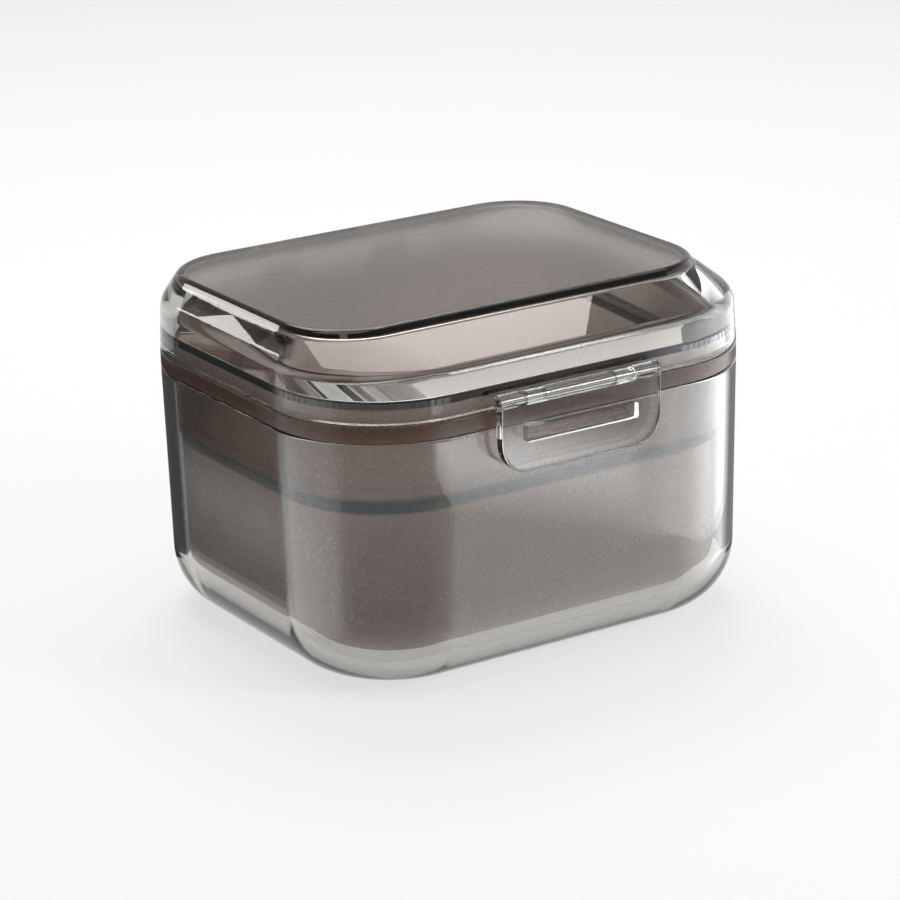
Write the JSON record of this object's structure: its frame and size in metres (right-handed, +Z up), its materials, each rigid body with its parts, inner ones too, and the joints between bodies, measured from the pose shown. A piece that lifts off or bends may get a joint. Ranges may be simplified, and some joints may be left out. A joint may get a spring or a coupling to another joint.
{
  "type": "orthodontic retainer case",
  "caption": "Clear box-shaped retainer case with rounded corners, a frosted strainer basket hung from its rim, and a hinged lid with a raised frosted top and a swing-up front latch.",
  "frame": {"origin": "middle of the flat base", "axes": "+X across the case to the right as seen from the latch, +Y from the latch to the lid's hinge, +Z up"},
  "size_m": [0.09, 0.0862, 0.0619],
  "materials": {
    "clear_tub": "clear polished plastic with a faint smoke tint",
    "frosted_basket": "frosted translucent smoke plastic",
    "clear_lid": "clear polished plastic with a fine frosted texture on the raised top",
    "seal_rubber": "soft dark seal",
    "pin_steel": "drawn steel wire",
    "clear_latch": "clear polished plastic"
  },
  "bodies": {
    "case": {"outer_tub": "clear_tub", "strainer_basket": "frosted_basket", "hinge_pin": "pin_steel"},
    "lid": {"lid_shell": "clear_lid", "lid_seal": "seal_rubber", "latch_pin": "pin_steel"},
    "latch": {"latch_plate": "clear_latch"}
  },
  "joints": [
    {"name": "lid_hinge", "type": "hinge", "parent": "case", "child": "lid", "pos_m": [0, 0.0418, 0.0469], "axis": [-1, 0, 0], "range_deg": [0, 105]},
    {"name": "latch_hinge", "type": "hinge", "parent": "lid", "child": "latch", "pos_m": [0, -0.0404, 0.05005], "axis": [-1, 0, 0], "range_deg": [0, 90]}
  ]
}
